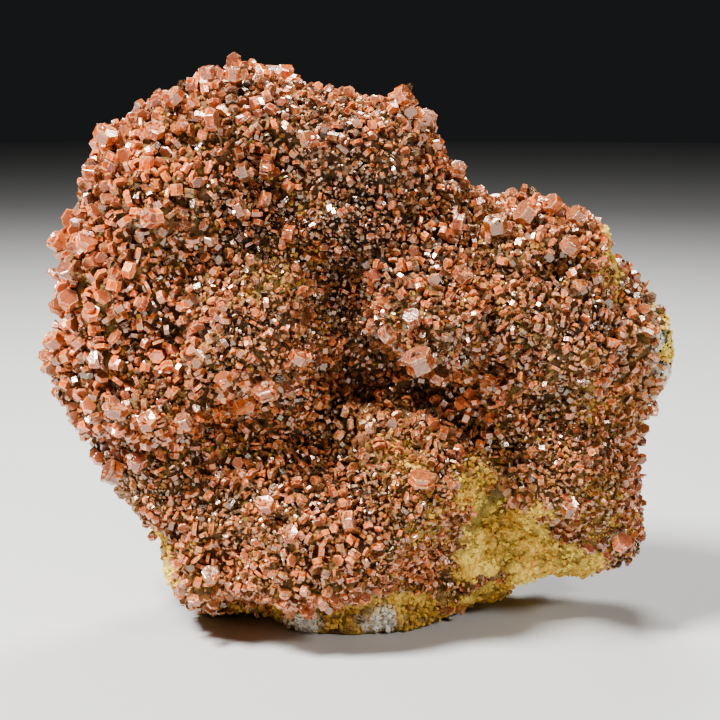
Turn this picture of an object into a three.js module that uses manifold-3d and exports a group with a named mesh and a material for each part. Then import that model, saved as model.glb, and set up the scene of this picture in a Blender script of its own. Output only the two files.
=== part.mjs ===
// Vanadinite on matrix: a cabinet-sized hand specimen. A lump of iron-oxide rock whose front and edges
// are covered by a crust of small hexagonal crystals, with the largest crystals standing out of it.
//
// Frame: +X to the right of the crystal-covered face, -Y out of that face, +Z up. The specimen stands on
// a flat foot at z = 0, and x = y = 0 is above the middle of its outline. All sizes are in millimetres.

import * as THREE from 'three';
import { mergeVertices } from 'three/addons/utils/BufferGeometryUtils.js';
import Module from 'manifold-3d';

const wasm = await Module();
wasm.setup();

// ---------------------------------------------------------------- driving dimensions

const HEART_HEIGHT = 78; // the point that the outline is drawn round
const FRONT_DEPTH = 28; // from the outline's plane to the front face, before its nodules
const BACK_DEPTH = 42; // and to the back, before its breaks
const EDGE_SQUARENESS = 2.9; // 2 is a plain ellipsoid, more is a slab with a blunt edge
const FINENESS = 10; // subdivisions of the icosahedron that the rock is shaped from
const FACE_SPREAD = 1.6; // how much of its faces go to the front and back rather than the edge

const CRUST_THICKNESS = 3.2; // rock to the tips of the small crystals
const CRUST_WRAP = 13; // how far the crust reaches round the edge, behind the outline's plane
const CRUST_HEM = 7; // the crust ends this far above the foot
const RAGGED = { size: 17, height: 4 }; // how the crust's edge wanders
const GAP = 0.3; // between pieces that touch

const NODULE_SAG = THREE.MathUtils.degToRad(22); // nodules droop as they grow outwards
const ROLL = { size: 27, height: 2.6 }; // gentle unevenness of the whole lump
const LUMPS = { size: 12, height: 1.1 }; // smaller unevenness

const BEVEL = 0.09; // bevel round each end face, as a part of the crystal's width
const BEVELLED_FROM = 5.4; // narrower crystals have plain ends
const CRYSTAL_PROUD = 0.16; // how far a crystal's middle stands off the crust, as a part of its width

// The outline, seen from the front, clockwise from the crown: x, z.
const OUTLINE = [
  [-32, 157], [-42, 152], [-52, 147], [-64, 138], [-71, 131], [-76, 120], [-84, 107], [-82, 86],
  [-86, 73], [-83, 63], [-75, 52], [-71, 43], [-69, 34], [-58, 22], [-52, 13], [-49, 3], [-42, 0],
  [-26, 1], [-19, -8], [18, -8], [25, -1], [38, 3], [48, 8], [56, 13], [66, 14], [77, 12], [83, 20],
  [83, 32], [80, 46], [83, 56], [88, 66], [89, 76], [86, 86], [79, 94], [73, 102], [70, 110],
  [63, 116], [49, 119], [39, 117], [32, 121], [22, 131], [19, 139], [13, 147], [5, 146], [-11, 150],
  [-21, 155],
];

// Rounded nodules of the front face: x, z, half width, half height, rise.
const NODULES = [
  [-52, 122, 25, 21, 10], // head
  [-30, 140, 19, 14, 8], // crown
  [-65, 88, 20, 27, 9], // left edge
  [-29, 88, 22, 20, 18], // middle
  [-54, 66, 18, 11, 16], // knuckle
  [4, 135, 21, 15, 7], // shoulder
  [-3, 114, 15, 13, 6], // brow
  [19, 92, 17, 19, 19], // boss
  [56, 87, 26, 22, 15], // right lobe
  [52, 111, 22, 11, 9], // dome
  [-14, 32, 36, 21, 23], // belly
  [12, 45, 19, 16, 17], // right of the belly
  [63, 46, 21, 20, 12], // heel
  [-42, 21, 13, 12, 14], // knee
  [-51, 45, 17, 14, 10], // flank
  [0, 4, 26, 12, 4], // lip over the foot
];

// Hollows between them: x, z, half width, half height, depth.
const HOLLOWS = [
  [5, 74, 14, 9, 17], // cave
  [19, 66, 15, 6, 15],
  [30, 57, 12, 8, 11],
  [-3, 90, 8, 13, 9], // valley
  [-9, 103, 9, 9, 5],
  [38, 37, 10, 12, 12], // ochre groove
  [43, 26, 10, 9, 10],
  [-33, 30, 5, 10, 9], // crevice
  [40, 79, 7, 7, 6],
  [56, 106, 7, 5, 5],
  [-37, 59, 10, 6, 6],
  [-24, 133, 8, 7, 6],
];

// Flat breaks that cut the back: y at the heart, then how it changes with x and with z.
const BREAKS = [
  [33, 0.09, -0.06],
  [43, 0.44, 0.07],
  [44, -0.4, -0.1],
  [47, 0.04, -0.46],
  [45, -0.07, 0.36],
];

// Patches of the front with no crust: x, z, half width, half height.
const BARE_PATCHES = [
  [38, 28, 18, 20], // ochre groove
  [57, 17, 18, 10],
  [2, 4, 34, 9], // lip over the foot
  [-51, 16, 7, 10], // below the knee
  [72, 112, 6, 7], // behind the dome
  [88, 78, 8, 16], // right edge
];

// The largest crystals, by the place on the front where they stand: x, z, width across the hexagon,
// length along the axis, then the axis: degrees turned clockwise from upright, and degrees leant
// towards the viewer.
const LARGE_CRYSTALS = {
  crown: [
    [-32, 150.6, 3.4, 3.2, 5, 10],
    [-39.2, 151, 3.8, 2.8, -10, 15],
    [-36.6, 139.1, 4.6, 2.6, 85, 15],
    [-52.2, 136.2, 4.6, 2.6, 20, 40],
    [-66, 134.7, 5.4, 3.2, 30, 25],
    [-47.6, 144.8, 4.8, 2.8, -40, 25],
  ],
  left_edge: [
    [-69, 125, 4.2, 3.4, 95, 10],
    [-80.5, 107, 4.8, 3, -50, 30],
    [-69.8, 107.9, 5, 2.8, 30, 30],
    [-75.8, 100, 4.2, 2.6, -20, 35],
    [-80.5, 81, 4.6, 3, -35, 30],
    [-68, 77.6, 3.8, 2.4, 0, 50],
  ],
  brow: [
    [-22.8, 127.4, 5.6, 2.2, 98, 10],
    [-28.8, 126.2, 4.6, 2.8, 70, 20],
    [-30, 116.9, 5.4, 2.2, 65, 10],
    [-17.6, 110.4, 4.2, 2.6, 100, 10],
    [-23.8, 119.4, 3.8, 2.2, -70, 20],
    [-12.2, 134.3, 3.8, 2.4, 30, 40],
  ],
  shoulder: [
    [12.4, 145, 4.6, 2.8, 60, 30],
    [18.2, 139.6, 4, 2.8, 20, 25],
    [27, 126.5, 3.8, 2.8, 10, 35],
  ],
  middle: [
    [-29.4, 66.4, 5, 2.8, 150, 30],
    [-23.4, 72.4, 5.4, 2.8, -20, 30],
    [-17.2, 71.4, 3.8, 2.4, 20, 45],
    [-14.9, 80, 4.6, 2.4, 30, 10],
    [-33.3, 75.2, 4, 2.4, -30, 25],
  ],
  knuckle: [
    [-61.8, 64.9, 5.2, 2.4, 10, 10],
    [-53.6, 63.3, 4.4, 2.8, 0, 40],
    [-44.8, 63, 3.6, 2.8, -15, 30],
    [-64.8, 45.8, 6, 3.6, -60, 20],
    [-57.2, 51, 4.4, 2.8, 20, 30],
  ],
  boss: [
    [16.1, 80.4, 6.8, 4.4, -25, 20],
    [21.8, 73.4, 4.8, 2.8, 30, 25],
    [8.3, 86, 4.2, 2.6, 50, 20],
    [14.3, 90.4, 4, 2.8, -20, 40],
    [26.8, 112.2, 5, 2.6, 98, 12],
    [27, 100, 4.4, 2.6, 35, 30],
  ],
  dome: [
    [36.6, 111.6, 5.4, 3.6, -10, 20],
    [45, 114.2, 5.8, 3.2, -55, 15],
    [52.4, 116.4, 4.4, 2.8, -50, 30],
    [58.2, 113.8, 4.4, 2.4, -50, 20],
    [55.6, 106.6, 4.6, 2.8, 30, 30],
    [35, 71, 4.4, 2.6, 120, 25],
  ],
  belly: [
    [16.6, 48, 5.8, 2.4, 5, 15],
    [-1.9, 37.9, 4.4, 2.4, 80, 10],
    [-17, 35, 4, 2.6, 0, 45],
    [-23.4, 41, 4.4, 2.6, -10, 30],
  ],
  heel: [
    [56.1, 39.1, 4, 3.4, 0, 30],
    [71, 27.6, 4.4, 3, 30, 40],
  ],
  knee: [
    [-38.1, 21.5, 4.2, 2.8, 0, 40],
  ],
};

// ---------------------------------------------------------------- materials

const rockMaterial = new THREE.MeshStandardMaterial({ color: '#a8812f', roughness: 0.92, metalness: 0 });
const crustMaterial = new THREE.MeshStandardMaterial({ color: '#a14f2e', roughness: 0.45, metalness: 0 });
const crystalMaterial = new THREE.MeshStandardMaterial({ color: '#c8552b', roughness: 0.18, metalness: 0 });

// ---------------------------------------------------------------- small helpers

// A closed geometry with its shared vertices merged, as a solid that can be cut and joined.
function solidFrom(geometry) {
  const bare = geometry.clone();
  bare.deleteAttribute('normal');
  bare.deleteAttribute('uv');
  const merged = mergeVertices(bare, 1e-4);
  return new wasm.Manifold(new wasm.Mesh({
    numProp: 3,
    vertProperties: new Float32Array(merged.attributes.position.array),
    triVerts: new Uint32Array(merged.index.array),
  }));
}

function geometryFrom(solid) {
  const { vertProperties, triVerts } = solid.getMesh();
  const geometry = new THREE.BufferGeometry();
  geometry.setAttribute('position', new THREE.BufferAttribute(vertProperties, 3));
  geometry.setIndex(new THREE.BufferAttribute(triVerts, 1));
  geometry.computeVertexNormals();
  return geometry;
}

// Crumbs that a cut leaves behind are dropped.
function largestBody(solid) {
  return solid.decompose().reduce((best, body) => (body.volume() > best.volume() ? body : best));
}

// Everything above a height, far wider than the specimen.
function slabAbove(height) {
  const side = 400;
  return solidFrom(new THREE.BoxGeometry(side, side, side).translate(0, 0, height + side / 2));
}

function namedMesh(name, geometry, material) {
  const mesh = new THREE.Mesh(geometry, material);
  mesh.name = name;
  return mesh;
}

const smooth = THREE.MathUtils.smoothstep;

// Fixed pseudo-random value in -1..1 for a cell of a lattice.
function cellValue(i, j, k, seed) {
  const mixed = Math.sin(i * 127.1 + j * 311.7 + k * 74.7 + seed * 53.3) * 43758.5453;
  return 2 * (mixed - Math.floor(mixed)) - 1;
}

// Smooth unevenness in -1..1 that repeats nowhere on the specimen.
function unevenness(point, size, seed) {
  const scaled = point.clone().divideScalar(size);
  const cell = scaled.clone().floor();
  const part = scaled.sub(cell);
  const eased = [part.x, part.y, part.z].map((t) => t * t * (3 - 2 * t));
  let sum = 0;
  for (let corner = 0; corner < 8; corner += 1) {
    const step = [corner & 1, (corner >> 1) & 1, (corner >> 2) & 1];
    const weight = step.reduce((product, up, axis) => product * (up ? eased[axis] : 1 - eased[axis]), 1);
    sum += weight * cellValue(cell.x + step[0], cell.y + step[1], cell.z + step[2], seed);
  }
  return sum;
}

// ---------------------------------------------------------------- the rock's outer form

// Distance from the heart to the outline, by angle.
function outlineReach() {
  const points = OUTLINE.map(([x, z]) => new THREE.Vector3(x, 0, z - HEART_HEIGHT));
  const curve = new THREE.CatmullRomCurve3(points, true, 'centripetal');
  const samples = curve.getPoints(OUTLINE.length * 12).map((p) => ({
    angle: Math.atan2(p.z, p.x),
    reach: Math.hypot(p.x, p.z),
  }));
  samples.sort((a, b) => a.angle - b.angle);
  const last = samples.length - 1;
  const wrapped = [
    { angle: samples[last].angle - 2 * Math.PI, reach: samples[last].reach },
    ...samples,
    { angle: samples[0].angle + 2 * Math.PI, reach: samples[0].reach },
  ];
  return (angle) => {
    const after = wrapped.findIndex((sample, i) => i > 0 && sample.angle >= angle);
    const [a, b] = [wrapped[after - 1], wrapped[after]];
    const part = (angle - a.angle) / Math.max(b.angle - a.angle, 1e-9);
    return THREE.MathUtils.lerp(a.reach, b.reach, part);
  };
}

// Height of a dome over an ellipse: 1 in the middle and 0 outside.
function dome(x, z, [cx, cz, halfWidth, halfHeight]) {
  const q = ((x - cx) / halfWidth) ** 2 + ((z - cz) / halfHeight) ** 2;
  return q < 1 ? (1 - q) ** 0.65 : 0;
}

// Nodules melt into each other, and hollows are sunk between them.
function noduleRise(x, z) {
  const sum = NODULES.reduce((total, nodule) => total + (nodule[4] * dome(x, z, nodule)) ** 4, 0);
  return sum ** 0.25;
}

function hollowDepth(x, z) {
  return HOLLOWS.reduce((deepest, hollow) => Math.max(deepest, hollow[4] * dome(x, z, hollow)), 0);
}

// Where a direction from the heart meets the rock's skin, crust included.
function skinPoint(direction, reachAt) {
  const spread = direction.clone().multiply(new THREE.Vector3(1, FACE_SPREAD, 1)).normalize();
  const across = Math.hypot(spread.x, spread.z);
  const forward = -spread.y;
  const power = EDGE_SQUARENESS;
  const stretch = (across ** power + Math.abs(forward) ** power) ** (-1 / power);
  const angle = Math.atan2(direction.z, direction.x);
  const reach = reachAt(angle) * across * stretch;
  const depth = forward > 0 ? FRONT_DEPTH : BACK_DEPTH;
  const point = new THREE.Vector3(
    Math.cos(angle) * reach,
    -depth * forward * stretch,
    HEART_HEIGHT + Math.sin(angle) * reach,
  );
  const facing = smooth(forward * stretch, 0.12, 0.6);
  const rise = facing * noduleRise(point.x, point.z);
  const sink = facing * hollowDepth(point.x, point.z);
  for (const [y, perX, perZ] of BREAKS) {
    point.y = Math.min(point.y, y + perX * point.x + perZ * (point.z - HEART_HEIGHT));
  }
  point.y += sink - rise * Math.cos(NODULE_SAG);
  point.z -= rise * Math.sin(NODULE_SAG);
  return point;
}

// The skin as a closed mesh, uneven as grown and broken rock is.
function makeSkin() {
  const ball = new THREE.IcosahedronGeometry(1, FINENESS);
  ball.deleteAttribute('normal');
  ball.deleteAttribute('uv');
  const skin = mergeVertices(ball, 1e-4);
  const reachAt = outlineReach();
  const position = skin.attributes.position;
  for (let i = 0; i < position.count; i += 1) {
    const direction = new THREE.Vector3().fromBufferAttribute(position, i).normalize();
    position.setXYZ(i, ...skinPoint(direction, reachAt));
  }
  skin.computeVertexNormals();
  return movedAlongNormals(skin, (point) => (
    ROLL.height * unevenness(point, ROLL.size, 1) + LUMPS.height * unevenness(point, LUMPS.size, 2)
  ));
}

// A copy of the skin with each vertex moved out along its normal, inwards where the amount is negative.
function movedAlongNormals(skin, amountAt) {
  const moved = skin.clone();
  const position = moved.attributes.position;
  for (let i = 0; i < position.count; i += 1) {
    const point = new THREE.Vector3().fromBufferAttribute(position, i);
    const normal = new THREE.Vector3().fromBufferAttribute(skin.attributes.normal, i);
    position.setXYZ(i, ...point.clone().addScaledVector(normal, amountAt(point, normal)));
  }
  moved.computeVertexNormals();
  return moved;
}

// ---------------------------------------------------------------- rock and crust

// How thick the crust is over a point of the skin: nothing on the back, the foot and the bare patches.
// It thins out to a ragged edge.
function crustOver(point) {
  const ragged = RAGGED.height * unevenness(point, RAGGED.size, 3);
  const wrapped = 1 - smooth(point.y + ragged, CRUST_WRAP - 3, CRUST_WRAP + 3);
  const lifted = smooth(point.z + 0.4 * ragged, CRUST_HEM - 2, CRUST_HEM + 2);
  const isFront = point.y < CRUST_WRAP / 2;
  const bared = BARE_PATCHES.reduce((most, [cx, cz, halfWidth, halfHeight]) => {
    const q = Math.hypot((point.x - cx) / halfWidth, (point.z - cz) / halfHeight) + 0.04 * ragged;
    return Math.max(most, isFront ? 1 - smooth(q, 0.8, 1.05) : 0);
  }, 0);
  return CRUST_THICKNESS * wrapped * lifted * (1 - bared);
}

function makeRock(skin) {
  const rock = movedAlongNormals(skin, (point) => -crustOver(point));
  return solidFrom(rock).intersect(slabAbove(0));
}

function makeCrust(skin) {
  const core = movedAlongNormals(skin, (point) => GAP - crustOver(point));
  return solidFrom(skin).subtract(solidFrom(core)).intersect(slabAbove(CRUST_HEM - 4));
}

// ---------------------------------------------------------------- large crystals

// A six-sided prism with a bevel round both ends, lying along +Z about the origin.
function prism(width, length, bevel) {
  const radius = width / Math.sqrt(3) - bevel;
  const hexagon = new THREE.Shape();
  for (let corner = 0; corner < 6; corner += 1) {
    const angle = (corner * Math.PI) / 3;
    const place = [radius * Math.cos(angle), radius * Math.sin(angle)];
    if (corner === 0) hexagon.moveTo(...place);
    else hexagon.lineTo(...place);
  }
  const geometry = new THREE.ExtrudeGeometry(hexagon, {
    depth: length - 2 * bevel,
    bevelEnabled: bevel > 0,
    bevelThickness: bevel,
    bevelSize: bevel,
    bevelSegments: 1,
  });
  return geometry.translate(0, 0, bevel - length / 2);
}

// Where a line from the front meets the skin, drawn in towards the heart if it passes outside.
function placeOnFront(skin, x, z) {
  const target = new THREE.Mesh(skin, new THREE.MeshBasicMaterial());
  for (let pull = 1; pull > 0.8; pull -= 0.01) {
    const start = new THREE.Vector3(x * pull, -200, HEART_HEIGHT + (z - HEART_HEIGHT) * pull);
    const [hit] = new THREE.Raycaster(start, new THREE.Vector3(0, 1, 0)).intersectObject(target);
    if (hit && hit.face.normal.y < -0.25) return hit;
  }
  throw new Error(`no rock at ${x}, ${z}`);
}

// The crystal's own frame: its axis, with one prism face turned to the viewer.
function crystalMatrix(skin, [x, z, width, , turn, lean]) {
  const turned = THREE.MathUtils.degToRad(turn);
  const leant = THREE.MathUtils.degToRad(lean);
  const axis = new THREE.Vector3(
    Math.cos(leant) * Math.sin(turned),
    -Math.sin(leant),
    Math.cos(leant) * Math.cos(turned),
  );
  const side = new THREE.Vector3(0, -1, 0).cross(axis).normalize();
  const up = axis.clone().cross(side);
  const { point, face } = placeOnFront(skin, x, z);
  const middle = point.clone().addScaledVector(face.normal, CRYSTAL_PROUD * width);
  return new THREE.Matrix4().makeBasis(side, up, axis).setPosition(middle);
}

// ---------------------------------------------------------------- assembly

const skin = makeSkin();
let rock = makeRock(skin);
let crust = makeCrust(skin);
const specimen = new THREE.Group();

for (const [zone, crystals] of Object.entries(LARGE_CRYSTALS)) {
  crystals.forEach((crystal, index) => {
    const [, , width, length] = crystal;
    const place = crystalMatrix(skin, crystal);
    const bevel = width < BEVELLED_FROM ? 0 : BEVEL * width;
    const shape = prism(width, length, bevel).applyMatrix4(place);
    specimen.add(namedMesh(`crystal_${zone}_${index + 1}`, shape, crystalMaterial.clone()));
    const socket = solidFrom(prism(width + 2 * GAP, length + 2 * GAP, 0).applyMatrix4(place));
    rock = rock.subtract(socket);
    crust = crust.subtract(socket);
  });
}

specimen.add(namedMesh('matrix', geometryFrom(largestBody(rock)), rockMaterial));
specimen.add(namedMesh('crystal_crust', geometryFrom(largestBody(crust)), crustMaterial));

export default specimen;
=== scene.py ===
"""Vanadinite on matrix: the rock, the crystal crust and the large crystals, built round the CAD frame."""

import math

import bmesh
import bpy
import numpy as np
from bpy.props import FloatProperty, FloatVectorProperty, IntProperty, PointerProperty
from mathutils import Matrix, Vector
from mathutils.bvhtree import BVHTree


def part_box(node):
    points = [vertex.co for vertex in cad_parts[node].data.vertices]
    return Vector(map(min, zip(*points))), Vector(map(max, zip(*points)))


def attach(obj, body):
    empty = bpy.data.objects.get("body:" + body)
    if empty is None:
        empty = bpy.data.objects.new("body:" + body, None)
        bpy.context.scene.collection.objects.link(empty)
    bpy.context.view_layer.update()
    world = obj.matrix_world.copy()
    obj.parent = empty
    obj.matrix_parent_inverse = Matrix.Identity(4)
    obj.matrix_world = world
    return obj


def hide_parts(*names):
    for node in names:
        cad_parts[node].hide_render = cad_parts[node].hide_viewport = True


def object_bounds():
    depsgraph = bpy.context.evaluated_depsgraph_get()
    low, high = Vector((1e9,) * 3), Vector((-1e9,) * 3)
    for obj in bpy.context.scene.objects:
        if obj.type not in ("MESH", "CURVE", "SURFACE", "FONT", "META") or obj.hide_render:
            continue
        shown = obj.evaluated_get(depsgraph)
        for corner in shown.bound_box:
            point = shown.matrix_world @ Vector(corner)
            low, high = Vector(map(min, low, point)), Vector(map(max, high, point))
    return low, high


bl_info = {
    "name": "Vanadinite Specimen",
    "version": (1, 0, 0),
    "blender": (4, 5, 0),
    "location": "View3D > Sidebar > Specimen",
    "description": "Rock, crystal crust, large crystals and a studio stage for a vanadinite specimen",
    "category": "Add Mesh",
}

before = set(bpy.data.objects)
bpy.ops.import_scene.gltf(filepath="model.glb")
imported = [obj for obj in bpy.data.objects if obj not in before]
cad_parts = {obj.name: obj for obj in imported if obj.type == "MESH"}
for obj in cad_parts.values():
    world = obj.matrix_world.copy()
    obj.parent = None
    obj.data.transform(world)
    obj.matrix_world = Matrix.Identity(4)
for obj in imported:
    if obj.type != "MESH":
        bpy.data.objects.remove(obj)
CAD_LOW, CAD_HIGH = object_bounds()
MIDDLE = (CAD_LOW + CAD_HIGH) / 2
MM = 0.001
BAKE_MAP = "OFBake"

# The places that the large crystals are named for. Round each one: the usual width of a small crystal in
# millimetres, then from 0 to 1 how orange, how brown and how dusty with ochre the crystals are.
ZONES = {
    "crown": (2.5, 0.60, 0.20, 0.05),
    "left_edge": (2.7, 0.80, 0.10, 0.05),
    "brow": (1.8, 0.45, 0.50, 0.15),
    "shoulder": (1.8, 0.50, 0.30, 0.25),
    "middle": (1.9, 0.55, 0.20, 0.30),
    "knuckle": (2.1, 0.50, 0.30, 0.10),
    "boss": (1.8, 0.40, 0.45, 0.15),
    "dome": (2.1, 0.65, 0.20, 0.25),
    "belly": (1.7, 0.55, 0.15, 0.35),
    "heel": (1.7, 0.45, 0.30, 0.20),
    "knee": (1.8, 0.50, 0.15, 0.50),
}
ZONE_REACH = 22 * MM


# ---------------------------------------------------------------- colour and nodes


def linear(hex_colour):
    """An sRGB hex colour as linear red, green, blue and alpha."""
    parts = [int(hex_colour[i : i + 2], 16) / 255 for i in (1, 3, 5)]
    return (*(c / 12.92 if c <= 0.04045 else ((c + 0.055) / 1.055) ** 2.4 for c in parts), 1.0)


def colour_property(name, description, hex_colour):
    return FloatVectorProperty(
        name=name, description=description, subtype="COLOR", size=4, min=0, max=1, default=linear(hex_colour)
    )


def add_node(tree, kind, inputs=None, **settings):
    """Add one node with its settings and inputs. An input is given a value, the output that feeds it, or a
    node whose first output feeds it."""
    node = tree.nodes.new(kind)
    for name, value in settings.items():
        setattr(node, name, value)
    for socket, value in (inputs or {}).items():
        if isinstance(value, bpy.types.Node):
            value = value.outputs[0]
        if isinstance(value, bpy.types.NodeSocket):
            tree.links.new(value, node.inputs[socket])
        else:
            node.inputs[socket].default_value = value
    return node


def new_material(name):
    """A material with an empty node tree."""
    material = bpy.data.materials.new(name)
    material.use_nodes = True
    material.node_tree.nodes.clear()
    return material, material.node_tree


# ---------------------------------------------------------------- settings


class RockSettings(bpy.types.PropertyGroup):
    """Sizes and colours of the iron-oxide rock"""

    grain: FloatProperty(
        name="Mesh Grain", description="Edge length of the rock's mesh", default=1.2 * MM, unit="LENGTH"
    )
    clump: FloatProperty(
        name="Clump Height", description="Half the height of the lumps under the crystals", default=2.6 * MM,
        unit="LENGTH",
    )
    crumbs: IntProperty(name="Crumbs", description="Number of earthy crumbs", default=9000, min=1)
    ochre: colour_property("Ochre", "Earthy yellow limonite", "#dca83c")
    pale_ochre: colour_property("Pale Ochre", "Powdery limonite", "#f8dc60")
    goethite: colour_property("Goethite", "Brown iron oxide", "#8a5a28")
    umber: colour_property("Umber", "Darker brown iron oxide", "#55341a")
    manganese: colour_property("Manganese", "Black to grey manganese oxide", "#15130f")
    # Painted shade: the rock under the crystals is mixed toward this dark colour to stand in for the shadow
    # in the gaps between them.
    painted_crevice_shade: colour_property("Crevice", "Dark rock between the crystals", "#27160a")
    chalk: colour_property("White Patches", "Chalky white mineral at the edges", "#e8e2d2")


class CrystalSettings(bpy.types.PropertyGroup):
    """Number, sizes and colours of the vanadinite crystals"""

    seed: IntProperty(name="Seed", description="Arrangement of the small crystals", default=7)
    cover: FloatProperty(
        name="Cover", description="How densely the small crystals stand", default=1.0, min=0.1, max=2.0
    )
    red: colour_property("Red", "Deep red-orange crystal colour", "#922a0a")
    orange: colour_property("Orange", "Bright orange crystal colour", "#f46a06")
    ends: colour_property("Ends", "Pinkish brown seen down a crystal's length", "#864832")
    brown: colour_property("Brown", "Brown, iron-stained crystals", "#33170a")
    # Partly painted highlight: the pale edges and the paler sides near the ends show real pale growth and
    # also stand in for glints on the crystal edges.
    edge: colour_property("Edges", "Pale growth edges", "#fcdca0")
    dust: colour_property("Dust", "Ochre dusting", "#b0782c")


class StageSettings(bpy.types.PropertyGroup):
    """Camera, floor and light"""

    focal_length: FloatProperty(name="Focal Length", description="Camera lens, in millimetres", default=76.75)
    distance: FloatProperty(name="Distance", description="Camera to specimen", default=0.43, unit="LENGTH")
    elevation: FloatProperty(
        name="Elevation", description="Camera height above level", default=math.radians(10), subtype="ANGLE"
    )
    floor: colour_property("Floor", "Pale studio floor", "#bdbcb9")
    light_power: FloatProperty(
        name="Light Power", description="Power of the key light", default=37.0, unit="POWER"
    )


# ---------------------------------------------------------------- mesh helpers


def deselect_all():
    if bpy.context.mode != "OBJECT":
        bpy.ops.object.mode_set(mode="OBJECT")
    for item in bpy.context.selected_objects:
        item.select_set(False)


def make_active(item):
    deselect_all()
    item.select_set(True)
    bpy.context.view_layer.objects.active = item


def apply_modifier(item, kind, **settings):
    """Add a modifier with these settings and apply it."""
    make_active(item)
    modifier = item.modifiers.new(kind.title(), kind)
    for name, value in settings.items():
        setattr(modifier, name, value)
    bpy.ops.object.modifier_apply(modifier=modifier.name)


def mesh_arrays(mesh):
    """Vertex places and normals of a mesh as arrays."""
    count = len(mesh.vertices)
    places = np.empty(count * 3, np.float32)
    normals = np.empty(count * 3, np.float32)
    mesh.vertices.foreach_get("co", places)
    mesh.vertices.foreach_get("normal", normals)
    return places.reshape(-1, 3).astype(float), normals.reshape(-1, 3).astype(float)


def set_places(mesh, places):
    mesh.vertices.foreach_set("co", places.astype(np.float32).ravel())
    mesh.update()


def set_vectors(mesh, name, values):
    """Store one vector for each vertex."""
    layer = mesh.attributes.new(name, "FLOAT_VECTOR", "POINT")
    layer.data.foreach_set("vector", values.astype(np.float32).ravel())


def vectors_of(mesh, name):
    """The vectors stored for the vertices under this name."""
    values = np.empty(len(mesh.vertices) * 3, np.float32)
    mesh.attributes[name].data.foreach_get("vector", values)
    return values.reshape(-1, 3)


def triangles_of(mesh):
    mesh.calc_loop_triangles()
    corners = np.empty(len(mesh.loop_triangles) * 3, np.int32)
    mesh.loop_triangles.foreach_get("vertices", corners)
    return corners.reshape(-1, 3)


def surface_tree(node):
    """A search tree over a CAD node's surface."""
    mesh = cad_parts[node].data
    places, _ = mesh_arrays(mesh)
    return BVHTree.FromPolygons([Vector(p) for p in places], triangles_of(mesh).tolist())


def unit(vectors):
    return vectors / np.maximum(np.linalg.norm(vectors, axis=-1, keepdims=True), 1e-12)


def smooth_step(low, high, values):
    t = np.clip((values - low) / (high - low), 0, 1)
    return t * t * (3 - 2 * t)


def unevenness(places, size, seed):
    """Smooth noise from -1 to 1 with features of about this size."""
    scaled = places / size
    cell = np.floor(scaled)
    part = scaled - cell
    part = part * part * (3 - 2 * part)
    total = np.zeros(len(places))
    for corner in range(8):
        step = np.array([corner & 1, (corner >> 1) & 1, (corner >> 2) & 1])
        weight = np.prod(np.where(step, part, 1 - part), axis=1)
        key = (cell + step) @ np.array([127.1, 311.7, 74.7]) + seed * 53.3
        mixed = np.sin(key) * 43758.5453
        total += weight * (2 * (mixed - np.floor(mixed)) - 1)
    return total


def lumpiness(places, size, seed):
    """Rounded lumps of about this size: 1 on the top of a lump, 0 in the creases between lumps."""
    scaled = places / size
    home = np.floor(scaled)
    nearest = np.full(len(places), 9.0)
    second = np.full(len(places), 9.0)
    for i in range(27):
        cell = home + np.array([i % 3 - 1, i // 3 % 3 - 1, i // 9 - 1])
        key = cell @ np.array([127.1, 311.7, 74.7]) + seed * 53.3
        shift = np.stack([np.sin(key * part) * 43758.5453 for part in (1.0, 1.7, 2.3)], 1)
        away = np.linalg.norm(cell + shift - np.floor(shift) - scaled, axis=1)
        second = np.minimum(second, np.maximum(nearest, away))
        nearest = np.minimum(nearest, away)
    return np.sqrt(np.clip((second - nearest) / 0.75, 0, 1))


def zone_blend(places):
    """The zones' values at each place, blended by distance to the zones' large crystals."""
    total = np.zeros((len(places), 4))
    weight = np.full(len(places), 1e-9)
    for zone, values in ZONES.items():
        for node in (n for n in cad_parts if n.startswith(f"crystal_{zone}_")):
            low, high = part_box(node)
            away = np.linalg.norm(places - np.array((low + high) / 2), axis=1)
            near = np.exp(-((away / ZONE_REACH) ** 2))
            total += near[:, None] * np.array(values)
            weight += near
    return total / weight[:, None]


# ---------------------------------------------------------------- rock


# Places on the front where the rock shows: across and up in millimetres, half the width, half the height,
# tilt in degrees, and how bare it is, from 0 to 1. First those of yellow earth, then the dark hollows.
EARTH_PATCHES = (
    (40, 25, 17, 8, 35, 1.0),
    (52, 20, 22, 7, -15, 1.0),
    (46, 10, 24, 6, 12, 1.0),
    (31, 44, 6, 9, -20, 0.9),
    (18, 34, 9, 5, 60, 0.55),
    (-2, 4, 27, 7.5, 3, 0.95),
    (-53, 20, 5, 10, 15, 0.95),
    (71, 107, 6, 10, 15, 1.0),
    (68, 32, 12, 5, -20, 0.55),
    (64, 40, 8, 6, 0, 0.35),
    (-21, 102, 11, 7, 20, 0.45),
    (-14, 119, 8, 5, -30, 0.3),
    (-30, 52, 10, 4, 0, 0.4),
    (9, 53, 12, 5, 0, 0.4),
    (62, 65, 8, 6, 0, 0.35),
    (88, 78, 8, 19, 0, 1.0),
    (66, 97, 7, 4, -40, 0.5),
    (83, 58, 5, 5, 0, 0.6),
)
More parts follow.
